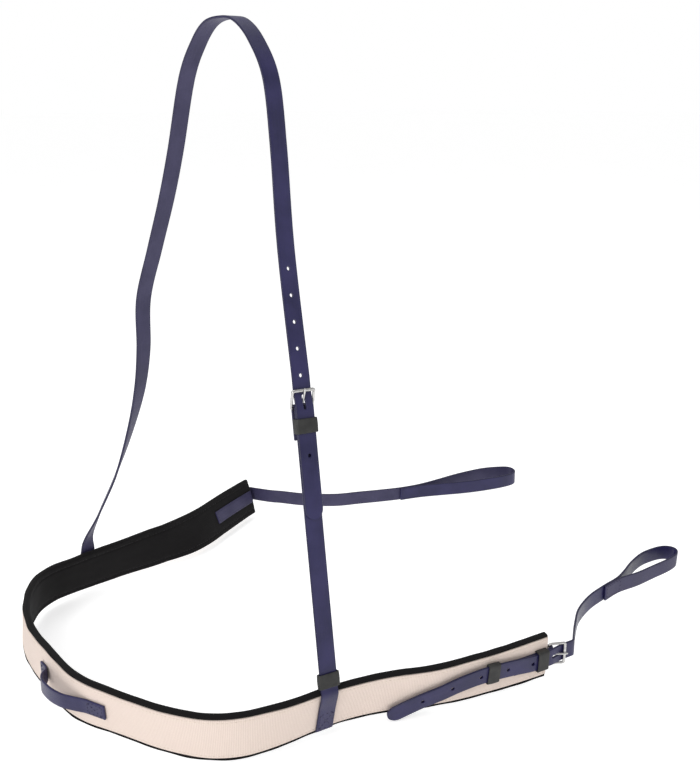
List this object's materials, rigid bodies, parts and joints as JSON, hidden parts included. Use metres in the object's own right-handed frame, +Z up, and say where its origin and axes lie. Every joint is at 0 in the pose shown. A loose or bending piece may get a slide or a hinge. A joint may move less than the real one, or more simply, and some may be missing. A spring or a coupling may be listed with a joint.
{
  "type": "breast girth",
  "caption": "Padded horse breast girth: webbing chest band, buckled neck strap over the withers, centre loop, and a looped strap at each end for the saddle girth.",
  "frame": {"origin": "middle of the band's inner face at the centre of the chest, half way up the band", "axes": "+X towards the horse's tail, +Y towards its off (right) side, +Z up"},
  "size_m": [0.8009, 0.5874, 0.6721],
  "materials": {
    "strap": "navy, coated, semi-matt",
    "webbing": "cream ribbed webbing",
    "lining": "black padded lining, matt",
    "keeper": "dark grey, matt",
    "metal": "polished"
  },
  "bodies": {
    "band": {"band_lining": "lining", "band_webbing": "webbing", "centre_loop": "strap", "near_fixed_keeper": "keeper", "near_girth_billet": "strap", "near_girth_chape": "strap", "near_inner_patch": "strap", "near_neck_strap": "strap", "off_girth_anchor": "strap", "off_inner_patch": "strap", "off_neck_strap": "strap"},
    "band_keeper": {"band_keeper": "keeper"},
    "near_buckle_frame": {"near_buckle_frame": "metal"},
    "near_buckle_tongue": {"near_buckle_tongue": "metal"},
    "near_girth_loop": {"near_girth_loop": "strap"},
    "near_sliding_keeper": {"near_sliding_keeper": "keeper"},
    "neck_buckle_frame": {"neck_buckle_frame": "metal"},
    "neck_buckle_tongue": {"neck_buckle_tongue": "metal"},
    "neck_keeper": {"neck_keeper": "keeper"},
    "off_girth_loop": {"off_girth_loop": "strap"}
  },
  "joints": [
    {"name": "neck_buckle_hinge", "type": "hinge", "parent": "band", "child": "neck_buckle_frame", "pos_m": [0.195, -0.161, 0.286], "axis": [0.9959, -0.0794, -0.0433], "range_deg": [0, 12]},
    {"name": "neck_tongue_hinge", "type": "hinge", "parent": "neck_buckle_frame", "child": "neck_buckle_tongue", "pos_m": [0.195, -0.161, 0.286], "axis": [0.9959, -0.0794, -0.0433], "range_deg": [0, 45]},
    {"name": "neck_keeper_slide", "type": "slide", "parent": "band", "child": "neck_keeper", "axis": [0.0601, 0.2237, 0.9728], "range_m": [-0.05, 0]},
    {"name": "band_keeper_slide", "type": "slide", "parent": "band", "child": "band_keeper", "axis": [0.0601, 0.2237, 0.9728], "range_m": [0, 0.12]},
    {"name": "near_buckle_hinge", "type": "hinge", "parent": "band", "child": "near_buckle_frame", "pos_m": [0.42449, -0.27989, 0], "axis": [0, 0, -1], "range_deg": [0, 12]},
    {"name": "near_tongue_hinge", "type": "hinge", "parent": "near_buckle_frame", "child": "near_buckle_tongue", "pos_m": [0.42449, -0.27989, 0], "axis": [0, 0, -1], "range_deg": [0, 45]},
    {"name": "near_keeper_slide", "type": "slide", "parent": "band", "child": "near_sliding_keeper", "axis": [-0.98, 0.1987, 0.0103], "range_m": [-0.009, 0.005]},
    {"name": "near_girth_loop_hinge", "type": "hinge", "parent": "band", "child": "near_girth_loop", "pos_m": [0.45542, -0.28663, 0], "axis": [0, 0, 1], "range_deg": [-44, 25]},
    {"name": "off_girth_loop_hinge", "type": "hinge", "parent": "band", "child": "off_girth_loop", "pos_m": [0.41289, 0.29412, 0], "axis": [0, 0, 1], "range_deg": [-4, 70]}
  ]
}
